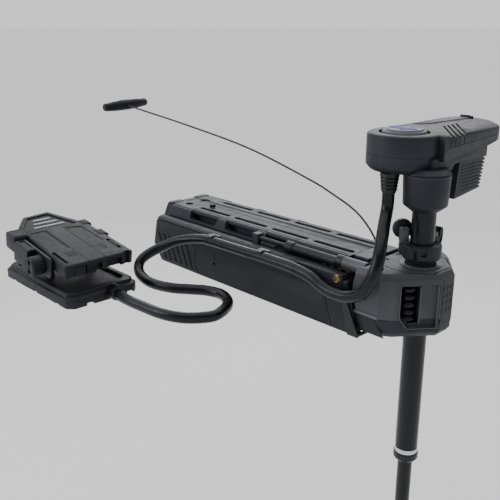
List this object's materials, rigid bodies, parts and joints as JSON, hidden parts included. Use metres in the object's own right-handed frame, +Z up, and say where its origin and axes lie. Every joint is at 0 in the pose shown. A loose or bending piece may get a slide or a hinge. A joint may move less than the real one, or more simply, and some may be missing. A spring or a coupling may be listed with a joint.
{
  "type": "bow-mount trolling motor",
  "caption": "Bow-mount electric trolling motor: folding deck mount with yoke and lift spring, steerable shaft and head, wired foot pedal on a cable, pull rope with handle.",
  "frame": {"origin": "on the flat underside of the deck base, near its middle, in the deck plane", "axes": "+Z up, away from the deck; +X over the bow, towards the shaft; the foot pedal stands on the -Y side"},
  "size_m": [0.8995, 0.6295, 1.4395],
  "materials": {
    "charcoal": "fine moulded grain",
    "dark": "satin moulded",
    "casting": "satin, dark anodised casting",
    "rubber": "semi-gloss",
    "steel": "brushed",
    "brass": "turned",
    "composite": "satin drawn composite",
    "rope": "braided cord",
    "dial": "satin, plain blue arrow",
    "board": "laminate"
  },
  "bodies": {
    "mount": {"base_plate": "dark", "base_rail": "casting", "rail_end_cap": "casting", "side_panel_near": "charcoal", "side_panel_far": "charcoal", "front_bumper": "rubber", "hinge_block": "casting", "hinge_pin": "brass", "lift_spring_rod": "steel", "spring_anchor": "casting", "cable_clip_rear": "charcoal", "cable_clip_front": "charcoal", "deck_cable": "rubber", "front_cable": "rubber", "pull_rope": "rope", "pull_handle": "dark", "pedal_base": "charcoal", "pedal_gland": "rubber", "pedal_axle": "steel"},
    "yoke": {"yoke_housing": "charcoal", "yoke_lower_cover": "dark", "yoke_ring": "casting", "upper_bushing": "rubber", "lower_bushing": "rubber", "guide_coil": "rubber", "rope_guide": "rubber", "depth_collar": "charcoal"},
    "lift_cylinder": {"lift_spring_cylinder": "dark", "lift_spring_socket": "casting"},
    "collar_knob": {"depth_knob": "charcoal"},
    "lever": {"collar_lever": "charcoal"},
    "column": {"outer_tube": "composite", "tube_end_ring": "steel", "tube_end_seal": "rubber", "head_neck": "charcoal", "head_lower_shell": "charcoal", "head_upper_shell": "charcoal", "heat_sink_block": "charcoal", "cable_boot": "rubber", "steering_motor": "dark", "circuit_board": "board", "head_cable": "rubber"},
    "dial": {"direction_dial": "dial"},
    "pinion": {"drive_pinion": "steel"},
    "lower_unit": {"inner_shaft": "composite", "steering_gear": "brass", "motor_housing": "charcoal", "nose_cone": "charcoal", "tail_cone": "charcoal", "motor_magnets": "steel"},
    "screw": {"propeller": "rubber", "propeller_shaft": "steel", "propeller_nut": "steel", "motor_armature": "brass"},
    "treadle": {"foot_plate": "charcoal", "control_pod": "charcoal"},
    "speed_dial": {"speed_knob": "dark"},
    "momentary": {"momentary_button": "charcoal"},
    "mode": {"mode_button": "dark"},
    "anchor": {"anchor_button": "dark"}
  },
  "joints": [
    {"name": "stow", "type": "hinge", "parent": "mount", "child": "yoke", "pos_m": [0.169, 0, 0.0886], "axis": [0, -1, 0], "range_deg": [0, 65], "deforming": ["front_cable", "pull_rope"]},
    {"name": "lift_stroke", "type": "slide", "parent": "mount", "child": "lift_cylinder", "axis": [-1, 0, 0], "range_m": [0, 0.0275]},
    {"name": "depth", "type": "slide", "parent": "yoke", "child": "column", "axis": [0, 0, 1], "range_m": [-0.01, 0.2], "deforming": ["head_cable"]},
    {"name": "collar_clamp", "type": "hinge", "parent": "yoke", "child": "collar_knob", "pos_m": [0.2425, -0.01967, 0.167], "axis": [-0.7284, 0.6852, 0], "range_deg": [0, 300]},
    {"name": "collar_latch", "type": "hinge", "parent": "yoke", "child": "lever", "pos_m": [0.261, 0.0375, 0.144], "axis": [-1, 0, 0], "range_deg": [0, 20]},
    {"name": "steering", "type": "hinge", "parent": "column", "child": "lower_unit", "pos_m": [0.261, 0, 0], "axis": [0, 0, 1], "range_deg": [-180, 180]},
    {"name": "heading", "type": "hinge", "parent": "column", "child": "dial", "pos_m": [0.214, 0, 0], "axis": [0, 0, 1], "range_deg": [-180, 180]},
    {"name": "drive", "type": "hinge", "parent": "column", "child": "pinion", "pos_m": [0.237, 0, 0], "axis": [0, 0, 1], "range_deg": [-480, 480]},
    {"name": "propeller_turn", "type": "hinge", "parent": "lower_unit", "child": "screw", "pos_m": [0.261, 0, -0.95], "axis": [1, 0, 0], "continuous": true},
    {"name": "pedal_rock", "type": "hinge", "parent": "mount", "child": "treadle", "pos_m": [-0.335, -0.29, 0.055], "axis": [0, 1, 0], "range_deg": [-17, 8]},
    {"name": "speed", "type": "hinge", "parent": "treadle", "child": "speed_dial", "pos_m": [-0.29139, -0.29, 0.06264], "axis": [0, 1, 0], "range_deg": [0, 300]},
    {"name": "momentary_press", "type": "slide", "parent": "treadle", "child": "momentary", "axis": [-0.1478, 0, -0.989], "range_m": [0, 0.0018], "stiffness_N_per_m": 400, "springref_m": -0.0006},
    {"name": "mode_press", "type": "slide", "parent": "treadle", "child": "mode", "axis": [-0.1478, 0, -0.989], "range_m": [0, 0.0018], "stiffness_N_per_m": 400, "springref_m": -0.0006},
    {"name": "anchor_press", "type": "slide", "parent": "treadle", "child": "anchor", "axis": [-0.1478, 0, -0.989], "range_m": [0, 0.0018], "stiffness_N_per_m": 400, "springref_m": -0.0006}
  ],
  "couplings": [
    {"joint": "lift_stroke", "follows": "stow", "m_per_rad": 0.0236},
    {"joint": "heading", "follows": "steering", "ratio": 1},
    {"joint": "drive", "follows": "steering", "ratio": -2.6154}
  ]
}
